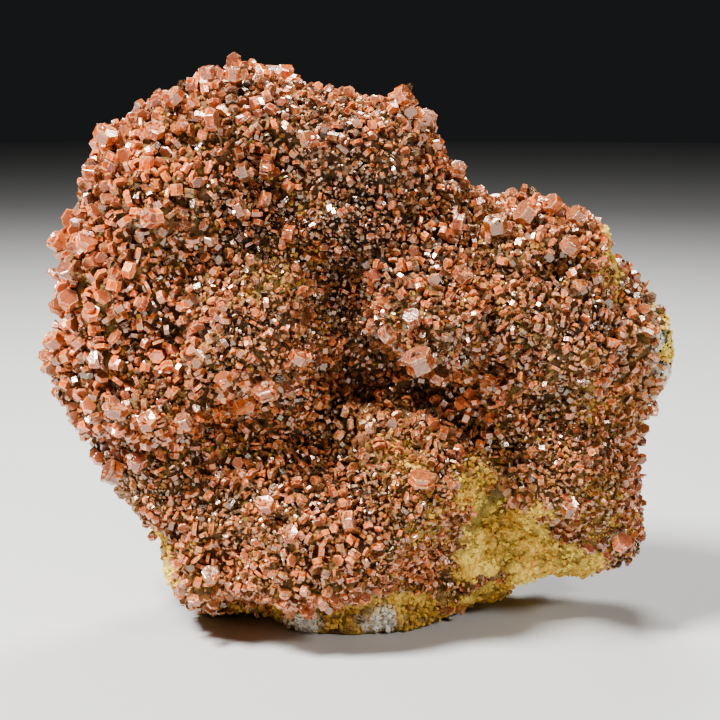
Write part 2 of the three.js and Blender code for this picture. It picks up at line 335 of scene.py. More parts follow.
DARK_PATCHES = (
    (-20, 141, 11, 7, -10, 0.8),
    (-33, 130, 6, 9, 20, 0.75),
    (-9, 125, 7, 9, 10, 0.8),
    (10, 130, 8, 8, 30, 0.6),
    (-53, 86, 9, 9, 20, 0.6),
    (-18, 87, 9, 7, -20, 0.7),
    (11, 67, 17, 6, -15, 0.7),
    (-28, 57, 16, 4, 5, 0.55),
    (53, 102, 4, 4, 0, 0.8),
    (35, 86, 4, 5, 0, 0.7),
    (50, 79, 7, 4, -10, 0.8),
    (49, 67, 7, 4, 0, 0.7),
    (71, 76, 6, 4, 20, 0.8),
    (70, 91, 5, 3, 0, 0.6),
    (-41, 48, 8, 4, 30, 0.6),
    (-37, 25, 4, 9, 10, 0.8),
    (44, 113, 9, 4, 0, 0.4),
)


# Chalky white spots low on the lip: how far across, in millimetres.
CHALK_SPOTS = (-15, 6)

# The sizes of the lumps that the crystals grow on, and of the blocks that the bare rock breaks into.
LUMP_SIZES = (12 * MM, 6 * MM)
BLOCK_SIZES = (17 * MM, 7 * MM, 3.6 * MM)
BLOCK_HEIGHT = 6.0 * MM
HOLLOW_DEPTH = 2.0 * MM


def shown_at(places, patches):
    """How far the rock of these patches shows at each place, from 0 to 1."""
    across, up = places[:, 0] / MM, places[:, 2] / MM
    most = np.zeros(len(places))
    ragged = 0.35 * unevenness(places, 7 * MM, 41) + 0.25 * unevenness(places, 3 * MM, 42)
    for x, z, wide, high, tilt, bare in patches:
        turn = math.radians(tilt)
        along = (across - x) * math.cos(turn) + (up - z) * math.sin(turn)
        over = (up - z) * math.cos(turn) - (across - x) * math.sin(turn)
        inside = smooth_step(1.25, 0.75, np.hypot(along / wide, over / high) + ragged)
        most = np.maximum(most, bare * inside)
    return most * smooth_step(14 * MM, 4 * MM, places[:, 1])


def rock_ground(places, earth, dark):
    """How chalky, black and ochre the rock is at each place, from 0 to 1."""
    width = CAD_HIGH.x - CAD_LOW.x
    height = CAD_HIGH.z - CAD_LOW.z
    across = (places[:, 0] - MIDDLE.x) / width
    up = places[:, 2] / height
    edge = smooth_step(0.42, 0.46, across) * smooth_step(0.36, 0.42, up) * smooth_step(0.66, 0.58, up)
    streaks = smooth_step(0.15, 0.5, unevenness(places, 19 * MM, 21) + 0.4 * unevenness(places, 6 * MM, 22))
    black = np.maximum(np.maximum(edge, dark), streaks * smooth_step(0.1, 0.3, up) * (1 - earth))
    spots = np.zeros(len(places))
    for x in CHALK_SPOTS:
        away = np.hypot((places[:, 0] - x * MM) / (5 * MM), (places[:, 2] - 4 * MM) / (4 * MM))
        spots = np.maximum(spots, smooth_step(1.2, 0.6, away + 0.4 * unevenness(places, 3 * MM, 23)))
    front = places[:, 1] < 0
    patchy = smooth_step(-0.2, 0.1, unevenness(places, 5 * MM, 25))
    chalk = np.maximum(spots * front, edge * patchy)
    ochre = 1 - smooth_step(0.0, 0.6, unevenness(places, 22 * MM, 24) + 0.5 * (up - 0.4))
    behind = smooth_step(0, 18 * MM, places[:, 1])
    low = smooth_step(11 * MM, 6 * MM, places[:, 2])
    ochre = np.maximum(ochre * (1 - 0.8 * behind), earth) * (1 - dark) * (1 - 0.5 * low)
    return chalk, black * (1 - 0.5 * behind), ochre


def rock_material(settings):
    """Limonite and goethite: earthy, powdery ochre that scatters light, over brown and black oxide that is
    harder and less matt. The grains are drawn at 0.7 to 0.9 mm, coarser than real ones, so that they show."""
    material, tree = new_material("earthy limonite and goethite")
    own = add_node(tree, "ShaderNodeTexCoord").outputs["Object"]
    ground = add_node(tree, "ShaderNodeAttribute", attribute_name="ground").outputs["Vector"]
    chalky, black, ochre = add_node(tree, "ShaderNodeSeparateXYZ", {0: ground}).outputs
    growing = add_node(tree, "ShaderNodeAttribute", attribute_name="growing").outputs["Vector"]
    cover, crest, _ = add_node(tree, "ShaderNodeSeparateXYZ", {0: growing}).outputs
    grains = add_node(tree, "ShaderNodeTexVoronoi", {"Vector": own, "Scale": 1 / (0.9 * MM)})
    powder = add_node(tree, "ShaderNodeTexNoise", {"Vector": own, "Scale": 1 / (0.7 * MM), "Detail": 3.0})
    mottle = add_node(
        tree,
        "ShaderNodeTexNoise",
        {"Vector": own, "Scale": 1 / (11 * MM), "Detail": 8.0, "Roughness": 0.7},
    )
    yellow = add_node(tree, "ShaderNodeMath", {0: ochre, 1: 0.4, 2: mottle}, operation="MULTIPLY_ADD")
    powdery, rusty, earthy, patchy, speckled, raised = (
        add_node(
            tree,
            "ShaderNodeMapRange",
            {"Value": value, "From Min": low, "From Max": high},
            interpolation_type="SMOOTHSTEP",
        )
        for value, low, high in (
            (powder, 0.3, 0.7),
            (powder, 0.35, 0.65),
            (yellow, 0.56, 0.86),
            (mottle, 0.4, 0.5),
            (powder, 0.35, 0.55),
            (crest, 0.3, 0.62),
        )
    )
    # Painted shade: the rock is mixed toward umber in the creases between lumps and blocks, where shade
    # falls.
    painted_crease_shade = add_node(tree, "ShaderNodeMath", {0: raised, 1: -0.7, 2: 0.7}, operation="MULTIPLY_ADD")
    bared = add_node(tree, "ShaderNodeMath", {0: ochre, 1: -0.35, 2: 1.0}, operation="MULTIPLY_ADD")
    # Painted shade: under the crystals the rock is mixed toward the dark crevice colour, less where it is
    # ochre, standing in for the shadow between the crystals.
    blackness, chalkiness, browned, painted_shade_under_crystals = (
        add_node(tree, "ShaderNodeMath", {0: first, 1: second}, operation="MULTIPLY")
        for first, second in ((black, patchy), (chalky, speckled), (cover, 0.85), (cover, bared))
    )
    limonite, goethite = (
        add_node(tree, "ShaderNodeMix", {"Factor": factor, 6: first, 7: second}, data_type="RGBA").outputs[2]
        for factor, first, second in (
            (powdery, settings.ochre, settings.pale_ochre),
            (rusty, settings.umber, settings.goethite),
        )
    )
    colour = goethite
    for factor, coat in (
        (earthy, limonite),
        (painted_crease_shade, settings.umber),
        (blackness, settings.manganese),
        (chalkiness, settings.chalk),
        (browned, settings.goethite),
        (painted_shade_under_crystals, settings.painted_crevice_shade),
    ):
        mixed = add_node(tree, "ShaderNodeMix", {"Factor": factor, 6: colour, 7: coat}, data_type="RGBA")
        colour = mixed.outputs[2]
    relief = add_node(tree, "ShaderNodeMath", {0: grains, 1: -0.6, 2: powder}, operation="MULTIPLY_ADD")
    bump = add_node(tree, "ShaderNodeBump", {"Height": relief, "Strength": 1.0, "Distance": 0.5 * MM})
    roughness = add_node(
        tree, "ShaderNodeMath", {0: blackness, 1: -0.25, 2: 0.92}, operation="MULTIPLY_ADD"
    )
    surface = add_node(
        tree,
        "ShaderNodeBsdfPrincipled",
        {
            "Base Color": colour,
            "Roughness": roughness,
            "Normal": bump,
            "IOR": 1.6,
            "Specular IOR Level": 0.25,
        },
    )
    add_node(tree, "ShaderNodeOutputMaterial", {"Surface": surface})
    return material


class SPECIMEN_OT_matrix(bpy.types.Operator):
    """Shape the matrix into earthy, broken rock"""

    bl_idname = "specimen.matrix"
    bl_label = "Matrix Rock"

    def execute(self, context):
        settings = context.scene.specimen_rock
        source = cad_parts["matrix"]
        rock = bpy.data.objects.new("matrix_rock", source.data.copy())
        context.scene.collection.objects.link(rock)
        rock.data.materials.clear()
        make_active(rock)
        bpy.ops.object.mode_set(mode="EDIT")
        bpy.ops.mesh.select_all(action="SELECT")
        bpy.ops.mesh.remove_doubles(threshold=0.001 * MM)
        bpy.ops.object.mode_set(mode="OBJECT")
        apply_modifier(rock, "REMESH", mode="VOXEL", voxel_size=settings.grain, use_smooth_shade=False)
        apply_modifier(rock, "SMOOTH", factor=0.8, iterations=6)
        mesh = rock.data
        places, normals = mesh_arrays(mesh)
        crust = surface_tree("crystal_crust")
        gaps = np.array([crust.find_nearest(Vector(p))[3] for p in places])
        covered = smooth_step(2.2 * MM, 1.0 * MM, gaps + 0.5 * MM * unevenness(places, 5 * MM, 11))
        earth = shown_at(places, EARTH_PATCHES)
        dark = shown_at(places, DARK_PATCHES)
        covered *= (1 - earth) * (1 - 0.75 * dark)
        standing = smooth_step(0.5 * MM, 4 * MM, places[:, 2])
        crest = 0.55 * lumpiness(places, LUMP_SIZES[0], 12) + 0.45 * lumpiness(places, LUMP_SIZES[1], 17)
        lumps = settings.clump * (2 * crest - 1.25) * covered
        blocks = 0.5 * lumpiness(places, BLOCK_SIZES[0], 14) + 0.3 * lumpiness(places, BLOCK_SIZES[1], 18)
        blocks += 0.2 * lumpiness(places, BLOCK_SIZES[2], 19)
        broken = (1 - covered) * (
            2.0 * MM * unevenness(places, 15 * MM, 13)
            + BLOCK_HEIGHT * (blocks - 0.62)
            + 0.5 * MM * unevenness(places, 2.2 * MM, 15)
        )
        fine = 0.25 * MM * unevenness(places, 2.5 * MM, 16) - HOLLOW_DEPTH * dark
        places += normals * (standing * (lumps + broken + fine))[:, None]
        places[:, 2] = np.where(places[:, 2] < 0.35 * MM, 0, places[:, 2])
        set_places(mesh, places)
        chalk, black, ochre = rock_ground(places, earth, dark)
        set_vectors(mesh, "ground", np.stack([chalk, black, ochre], 1))
        # The second value, the height on a lump or block, sets the painted shade in the creases and browns
        # the crystals that stand low in them.
        set_vectors(mesh, "growing", np.stack([covered, np.where(covered > 0.5, crest, blocks), ochre], 1))
        mesh.materials.append(rock_material(settings))
        for polygon in mesh.polygons:
            polygon.use_smooth = True
        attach(rock, "root")
        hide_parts("matrix")
        return {"FINISHED"}


# ---------------------------------------------------------------- crystal shapes


def select_caps(item):
    """In edit mode, select only the two end faces."""
    shape = bmesh.from_edit_mesh(item.data)
    for face in shape.faces:
        face.select_set(abs(face.normal.z) > 0.9 and len(face.verts) == 6)
    shape.select_flush_mode()
    bmesh.update_edit_mesh(item.data)


def start_prism(name):
    """A six-sided prism of unit radius and unit half length, left in edit mode."""
    deselect_all()
    bpy.ops.mesh.primitive_cylinder_add(vertices=6, radius=1, depth=2, end_fill_type="NGON")
    item = bpy.context.active_object
    item.name = name
    bpy.ops.object.mode_set(mode="EDIT")
    return item


def habit_tablet():
    """A plain tablet or prism."""
    return start_prism("habit_tablet")


def habit_bevelled():
    """A prism with narrow pyramid faces round both ends."""
    item = start_prism("habit_bevelled")
    select_caps(item)
    bpy.ops.mesh.inset(thickness=0.16)
    bpy.ops.transform.resize(value=(1, 1, 1.14))
    return item


def habit_hopper():
    """A prism whose ends grew faster at the rim, so that they are hollow."""
    item = start_prism("habit_hopper")
    select_caps(item)
    bpy.ops.mesh.inset(thickness=0.3)
    bpy.ops.transform.resize(value=(0.9, 0.9, 0.62))
    return item


def habit_barrel():
    """A prism that swells in the middle."""
    item = start_prism("habit_barrel")
    bpy.ops.mesh.select_all(action="SELECT")
    bpy.ops.mesh.bisect(plane_co=(0, 0, 0), plane_no=(0, 0, 1))
    bpy.ops.transform.resize(value=(1.14, 1.14, 1))
    return item


def habit_stepped():
    """A prism with a smaller plate grown on each end."""
    item = start_prism("habit_stepped")
    select_caps(item)
    bpy.ops.mesh.inset(thickness=0.26)
    bpy.ops.mesh.extrude_region_shrink_fatten(TRANSFORM_OT_shrink_fatten={"value": 0.22})
    return item


SMALL_HABITS = (habit_tablet, habit_bevelled, habit_hopper, habit_barrel, habit_stepped)


def finished_shape(make):
    """Model one habit and return its arrays: vertices, corner vertices, face starts and a bake map."""
    item = make()
    bpy.ops.object.mode_set(mode="OBJECT")
    mesh = item.data
    places, _ = mesh_arrays(mesh)
    corners = np.empty(len(mesh.loops), np.int32)
    mesh.loops.foreach_get("vertex_index", corners)
    starts = np.empty(len(mesh.polygons), np.int32)
    mesh.polygons.foreach_get("loop_start", starts)
    cells = math.ceil(math.sqrt(len(mesh.polygons)))
    bake = np.zeros((len(corners), 2))
    for index, polygon in enumerate(mesh.polygons):
        normal = np.array(polygon.normal)
        side = unit(np.cross(normal, [0.31, 0.62, 0.72]))
        flat = places[corners[list(polygon.loop_indices)]] @ np.stack([side, np.cross(normal, side)], 1)
        flat -= flat.min(0)
        flat /= max(flat.max(), 1e-9)
        cell = np.array([index % cells, index // cells])
        bake[list(polygon.loop_indices)] = (cell + 0.06 + 0.88 * flat) / cells
    bpy.data.objects.remove(item)
    return places, corners, starts, bake


def joined_copies(name, shapes, which, axes, spins, sizes, middles, tints):
    """One mesh of many crystals. Each has its own frame, size and tint, and its own cell of the bake map.
    The vertex attribute growth holds a crystal's own coordinates, from its middle to its faces."""
    helper = np.where(np.abs(axes[:, 2:3]) < 0.9, np.array([[0, 0, 1.0]]), np.array([[1.0, 0, 0]]))
    first = unit(np.cross(axes, helper))
    second = np.cross(axes, first)
    turned = np.cos(spins)[:, None] * first + np.sin(spins)[:, None] * second
    frames = np.stack([turned, np.cross(axes, turned), axes], 1)
    cells = math.ceil(math.sqrt(len(axes)))
    places, growths, colours, corners, starts, maps = [], [], [], [], [], []
    vertices = loops = 0
    for habit, (shape, shape_corners, shape_starts, shape_map) in enumerate(shapes):
        members = np.nonzero(which == habit)[0]
        if not len(members):
            continue
        count = len(members)
        local = shape[None] * sizes[members][:, None]
        placed = np.einsum("nvi,nij->nvj", local, frames[members]) + middles[members][:, None]
        places.append(placed.reshape(-1, 3))
        growths.append(np.tile(shape, (count, 1)))
        colours.append(np.repeat(tints[members], len(shape), axis=0))
        offsets = vertices + np.arange(count)[:, None] * len(shape)
        corners.append((shape_corners[None] + offsets).ravel())
        starts.append((shape_starts[None] + loops + np.arange(count)[:, None] * len(shape_corners)).ravel())
        cell = np.stack([members % cells, members // cells], 1)
        maps.append(((cell[:, None] + 0.04 + 0.92 * shape_map[None]) / cells).reshape(-1, 2))
        vertices += count * len(shape)
        loops += count * len(shape_corners)
    mesh = bpy.data.meshes.new(name)
    mesh.vertices.add(vertices)
    mesh.vertices.foreach_set("co", np.concatenate(places).astype(np.float32).ravel())
    mesh.loops.add(loops)
    mesh.loops.foreach_set("vertex_index", np.concatenate(corners).astype(np.int32))
    start_values = np.concatenate(starts).astype(np.int32)
    mesh.polygons.add(len(start_values))
    mesh.polygons.foreach_set("loop_start", start_values)
    mesh.update(calc_edges=True)
    mesh.shade_flat()
    bake = mesh.uv_layers.new(name=BAKE_MAP)
    bake.data.foreach_set("uv", np.concatenate(maps).astype(np.float32).ravel())
    set_vectors(mesh, "growth", np.concatenate(growths))
    set_vectors(mesh, "tint", np.concatenate(colours))
    item = bpy.data.objects.new(name, mesh)
    bpy.context.scene.collection.objects.link(item)
    return item


# ---------------------------------------------------------------- crystal material


def vanadinite_material(settings):
    """Lead chlorovanadate: a high index gives its near-adamantine shine, and light gets a little way into
    it, so that the body glows orange-red. Ends and edges are paler, partly with later growth and partly as a
    painted highlight that stands in for glints on the edges."""
    material, tree = new_material("vanadinite crystal")
    own = add_node(tree, "ShaderNodeTexCoord").outputs["Object"]
    tint = add_node(tree, "ShaderNodeAttribute", attribute_name="tint").outputs["Vector"]
    orange, brown, dust = add_node(tree, "ShaderNodeSeparateXYZ", {0: tint}).outputs
    growth = add_node(tree, "ShaderNodeAttribute", attribute_name="growth").outputs["Vector"]

    # How near a point is to each pair of prism faces and to the ends: 1 on the face.
    distances = []
    for angle in (0, 60, 120):
        reach = math.cos(math.radians(30))
        towards = (math.cos(math.radians(angle)) / reach, math.sin(math.radians(angle)) / reach, 0)
        dot = add_node(tree, "ShaderNodeVectorMath", {0: growth, 1: towards}, operation="DOT_PRODUCT")
        distances.append(dot.outputs["Value"])
    distances.append(add_node(tree, "ShaderNodeSeparateXYZ", {0: growth}).outputs["Z"])
    nearness = [add_node(tree, "ShaderNodeMath", {0: value}, operation="ABSOLUTE") for value in distances]
    along = nearness[3]

    # The second largest of the four is 1 where two faces meet.
    (low_a, high_a), (low_b, high_b) = (
        [add_node(tree, "ShaderNodeMath", {0: a, 1: b}, operation=way) for way in ("MINIMUM", "MAXIMUM")]
        for a, b in (nearness[:2], nearness[2:])
    )
    lower = add_node(tree, "ShaderNodeMath", {0: low_a, 1: low_b}, operation="MAXIMUM")
    upper = add_node(tree, "ShaderNodeMath", {0: high_a, 1: high_b}, operation="MINIMUM")
    meeting = add_node(tree, "ShaderNodeMath", {0: lower, 1: upper}, operation="MAXIMUM")

    cloud = add_node(tree, "ShaderNodeTexNoise", {"Vector": own, "Scale": 1 / (0.9 * MM), "Detail": 2.0})
    edge, cap, end, cloudy = (
        add_node(
            tree,
            "ShaderNodeMapRange",
            {"Value": value, "From Min": low, "From Max": high},
            interpolation_type="SMOOTHSTEP",
        )
        for value, low, high in (
            (meeting, 0.88, 0.98),
            (along, 0.985, 0.998),
            (along, 0.4, 0.85),
            (cloud, 0.35, 0.6),
        )
    )
    uncapped = add_node(tree, "ShaderNodeMath", {0: 1.0, 1: cap}, operation="SUBTRACT")
    clean = add_node(tree, "ShaderNodeMath", {0: brown, 1: -0.8, 2: 1.0}, operation="MULTIPLY_ADD")
    # Paler near the ends and where two faces meet: partly pale growth, partly painted highlight standing in
    # for glints on the edges.
    rim, painted_edge_highlight, capping, dusty = (
        add_node(tree, "ShaderNodeMath", {0: first, 1: second}, operation="MULTIPLY")
        for first, second in ((end, uncapped), (edge, 0.5), (cap, 0.75), (dust, cloudy))
    )
    painted_rim_highlight = add_node(tree, "ShaderNodeMath", {0: rim, 1: 0.35}, operation="MULTIPLY")
    pale = add_node(tree, "ShaderNodeMath", {0: painted_rim_highlight, 1: painted_edge_highlight}, operation="MAXIMUM")
    for share in (clean, cloudy):
        pale = add_node(tree, "ShaderNodeMath", {0: pale, 1: share}, operation="MULTIPLY")
    less = add_node(tree, "ShaderNodeMath", {0: orange, 1: 1.0}, operation="SUBTRACT")
    streaked = add_node(tree, "ShaderNodeMath", {0: cloud, 1: 2.0, 2: less}, operation="MULTIPLY_ADD")
    colour = settings.red
    for factor, coat in (
        (streaked, settings.orange),
        (capping, settings.ends),
        (brown, settings.brown),
        (pale, settings.edge),
        (dusty, settings.dust),
    ):
        mixed = add_node(tree, "ShaderNodeMix", {"Factor": factor, 6: colour, 7: coat}, data_type="RGBA")
        colour = mixed.outputs[2]
    dulled = add_node(tree, "ShaderNodeMath", {0: dusty, 1: 0.35}, operation="MULTIPLY")
    roughness = add_node(tree, "ShaderNodeMath", {0: cloud, 1: 0.36, 2: dulled}, operation="MULTIPLY_ADD")
    steps = add_node(tree, "ShaderNodeTexNoise", {"Vector": own, "Scale": 1 / (0.45 * MM), "Detail": 1.0})
    bump = add_node(tree, "ShaderNodeBump", {"Height": steps, "Strength": 1.0, "Distance": 0.09 * MM})
    surface = add_node(
        tree,
        "ShaderNodeBsdfPrincipled",
        {
            "Base Color": colour,
            "Roughness": roughness,
            "Normal": bump,
            "IOR": 2.35,
            "Specular Tint": (1.0, 0.86, 0.72, 1.0),
            "Subsurface Weight": 0.06,
            "Subsurface Radius": (1.0, 0.3, 0.1),
            "Subsurface Scale": 0.8 * MM,
        },
    )
    add_node(tree, "ShaderNodeOutputMaterial", {"Surface": surface})
    return material


def crystal_material(settings):
    """The one crystal material that all crystals share."""
    return bpy.data.materials.get("vanadinite crystal") or vanadinite_material(settings)


# ---------------------------------------------------------------- large crystals


def large_nodes():
    return sorted(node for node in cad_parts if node.startswith("crystal_") and node != "crystal_crust")


def measured_crystal(node):
    """A CAD crystal's middle, axis, side direction, width across the hexagon and length."""
    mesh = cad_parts[node].data
    places, _ = mesh_arrays(mesh)
    corners = places[triangles_of(mesh)]
    normals = np.cross(corners[:, 1] - corners[:, 0], corners[:, 2] - corners[:, 0])
    normals = unit(normals[np.linalg.norm(normals, axis=1) > 1e-12])
    square = (np.abs(normals @ normals.T) < 0.02).sum(1)
    axis = normals[np.argmax(square)]
    side = normals[np.argmin(np.abs(normals @ axis))]
    along, across = places @ axis, places @ side
    third = places @ np.cross(axis, side)
    middle = (
        axis * (along.max() + along.min())
        + side * (across.max() + across.min())
        + np.cross(axis, side) * (third.max() + third.min())
    ) / 2
    return middle, axis, side, np.ptp(across), np.ptp(along)


def bevel_sharp(item, width):
    """Round off every edge between faces that meet at an angle."""
    bpy.ops.mesh.select_all(action="DESELECT")
    bpy.ops.mesh.select_mode(type="EDGE")
    bpy.ops.mesh.edges_select_sharp(sharpness=math.radians(25))
    bpy.ops.mesh.bevel(offset=width, segments=1)
    bpy.ops.mesh.select_mode(type="FACE")


def large_stepped():
    """A large prism with growth steps on its ends."""
    item = start_prism("large_stepped")
    select_caps(item)
    bpy.ops.mesh.inset(thickness=0.1)
    bpy.ops.transform.resize(value=(1, 1, 1.07))
    bpy.ops.mesh.inset(thickness=0.22)
    bpy.ops.mesh.extrude_region_shrink_fatten(TRANSFORM_OT_shrink_fatten={"value": 0.05})
    bpy.ops.mesh.inset(thickness=0.2)
    bpy.ops.mesh.extrude_region_shrink_fatten(TRANSFORM_OT_shrink_fatten={"value": 0.05})
    bevel_sharp(item, 0.035)
    return item


def large_hollow():
    """A large prism with hollow ends and a raised rim."""
    item = start_prism("large_hollow")
    select_caps(item)
    bpy.ops.mesh.inset(thickness=0.24)
    bpy.ops.transform.resize(value=(0.94, 0.94, 0.84))
    bpy.ops.mesh.inset(thickness=0.2)
    bpy.ops.transform.resize(value=(0.9, 0.9, 0.86))
    bevel_sharp(item, 0.04)
    return item


def large_plated():
    """A large crystal built of two plates, one a little wider than the other."""
    item = start_prism("large_plated")
    for height, wide in ((0.45, 1.0), (0.3, 0.9), (-0.35, 1.0)):
        bpy.ops.mesh.select_all(action="SELECT")
        bpy.ops.mesh.bisect(plane_co=(0, 0, height), plane_no=(0, 0, 1))
        bpy.ops.transform.resize(value=(wide, wide, 1))
    select_caps(item)
    bpy.ops.mesh.inset(thickness=0.14)
    bpy.ops.transform.resize(value=(1, 1, 1.06))
    bevel_sharp(item, 0.035)
    return item


LARGE_HABITS = (large_stepped, large_hollow, large_plated)


class SPECIMEN_OT_large_crystals(bpy.types.Operator):
    """Grow a detailed crystal in the place of each large CAD crystal"""

    bl_idname = "specimen.large_crystals"
    bl_label = "Large Crystals"

    def execute(self, context):
        settings = context.scene.specimen_crystals
        rng = np.random.default_rng(settings.seed + 1)
        shapes = [finished_shape(habit) for habit in LARGE_HABITS]
        for node in large_nodes():
            middle, axis, side, width, length = measured_crystal(node)
            which = rng.integers(len(shapes))
            orange, brown, dust = zone_blend(middle[None])[0][1:]
            tint = (orange + rng.uniform(-0.5, 0.2), brown + rng.uniform(-0.1, 0.4), dust * rng.uniform(0, 1))
            radius = width / math.sqrt(3)
            helper = np.array([0, 0, 1.0]) if abs(axis[2]) < 0.9 else np.array([1.0, 0, 0])
            first = unit(np.cross(axis, helper))
            spin = math.atan2(side @ np.cross(axis, first), side @ first)
            crystal = joined_copies(
                "large_" + node, shapes, np.array([which]), axis[None], np.array([spin]),
                np.array([[radius, radius, length / 2]]), middle[None], np.clip([tint], 0, 1),
            )
            crystal.data.materials.append(crystal_material(settings))
            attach(crystal, "root")
            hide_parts(node)
        return {"FINISHED"}


# ---------------------------------------------------------------- small crystals


def scattered(mesh, chances, values, count, rng):
    """Random places on a mesh with their normals and values, more where the vertices' chances are high.
    Each vertex has a row of values."""
    places, normals = mesh_arrays(mesh)
    triangles = triangles_of(mesh)
    corners = places[triangles]
    area = np.linalg.norm(np.cross(corners[:, 1] - corners[:, 0], corners[:, 2] - corners[:, 0]), axis=1)
    weight = area * chances[triangles].mean(1)
    picked = rng.choice(len(triangles), count, p=weight / weight.sum())
    first, second = rng.random((2, count, 1))
    fold = first + second > 1
    first, second = np.where(fold, 1 - first, first), np.where(fold, 1 - second, second)
    a, b, c = (corners[picked, i] for i in range(3))
    na, nb, nc = (normals[triangles[picked, i]] for i in range(3))
    rest = 1 - first - second
    own = (values[triangles[picked]] * np.stack([rest, first, second], 1)).sum(1)
    return a * rest + b * first + c * second, unit(na * rest + nb * first + nc * second), own


class Crowd:
    """Keeps crystals clear of each other."""

    def __init__(self, cell):
        self.cell = cell
        self.held = {}

    def admit(self, place, reach):
        """Take a crystal in if no other is too near, and say whether it was."""
        home = tuple(int(c // self.cell) for c in place)
        x, y, z = place
        for i in range(home[0] - 1, home[0] + 2):
            for j in range(home[1] - 1, home[1] + 2):
                for k in range(home[2] - 1, home[2] + 2):
                    for ox, oy, oz, other in self.held.get((i, j, k), ()):
                        near = (reach + other) / 2
                        if (x - ox) ** 2 + (y - oy) ** 2 + (z - oz) ** 2 < near * near:
                            return False
        self.held.setdefault(home, []).append((x, y, z, reach))
        return True


# Layers of small crystals: candidates, least and most width as a part of the zone's usual width, how much
# room each keeps as a part of its width, how far it stands out of the rock as a part of its width, how
# brown it is, and how many of each habit there are.
LAYERS = (
    (16000, 1.05, 1.6, 0.85, 0.6, -0.1, (0.35, 0.25, 0.2, 0.1, 0.1)),
    (50000, 0.7, 1.1, 0.68, 0.4, 0.0, (0.75, 0.2, 0.05, 0.0, 0.0)),
    (60000, 0.38, 0.66, 0.68, 0.25, 0.15, (1.0, 0.0, 0.0, 0.0, 0.0)),
)

# The share of small crystals with a second one beside them, and how many small ones each large one carries.
BOOK_SHARE = 0.4
COMPANIONS = 3


def with_books(middles, axes, width, length, zones, rng):
    """Give some crystals a second one beside them, nearly parallel, like leaves of a book."""
    has = np.nonzero(rng.random(len(middles)) < BOOK_SHARE)[0]
    way = np.where(rng.random(len(has)) < 0.5, -1, 1)[:, None]
    turned = unit(axes[has] + rng.normal(0, 0.16, (len(has), 3)))
    thickness = length[has] * rng.uniform(0.6, 1.1, len(has))
    beside = middles[has] + way * axes[has] * ((length[has] + thickness) * 0.48)[:, None]
    beside += rng.normal(0, 0.12, (len(has), 3)) * width[has][:, None]
    narrower = width[has] * rng.uniform(0.6, 1.0, len(has))
    return tuple(
        np.concatenate(pair)
        for pair in (
            (middles, beside), (axes, turned), (width, narrower), (length, thickness), (zones, zones[has])
        )
    )


def companions(middle, axis, width, length, rng):
    """Small crystals grown on the side and the ends of a large one."""
    way = unit(rng.normal(size=(COMPANIONS, 3)) + np.array([0, -0.5, 0]))
    along = (way @ axis)[:, None] * axis
    reach = np.minimum(
        0.5 * length / np.maximum(np.abs(way @ axis), 0.01),
        0.5 * width / np.maximum(np.linalg.norm(way - along, axis=1), 0.01),
    )
    wide = width * rng.uniform(0.2, 0.42, COMPANIONS)
    middles = middle + way * reach[:, None]
    axes = unit(rng.normal(size=(COMPANIONS, 3)))
    thick = wide * rng.uniform(0.4, 0.8, COMPANIONS)
    zones = np.column_stack([zone_blend(middles), np.full(COMPANIONS, 0.9)])
    return middles, axes, wide, thick, zones, np.zeros(COMPANIONS), rng.integers(0, 3, COMPANIONS)


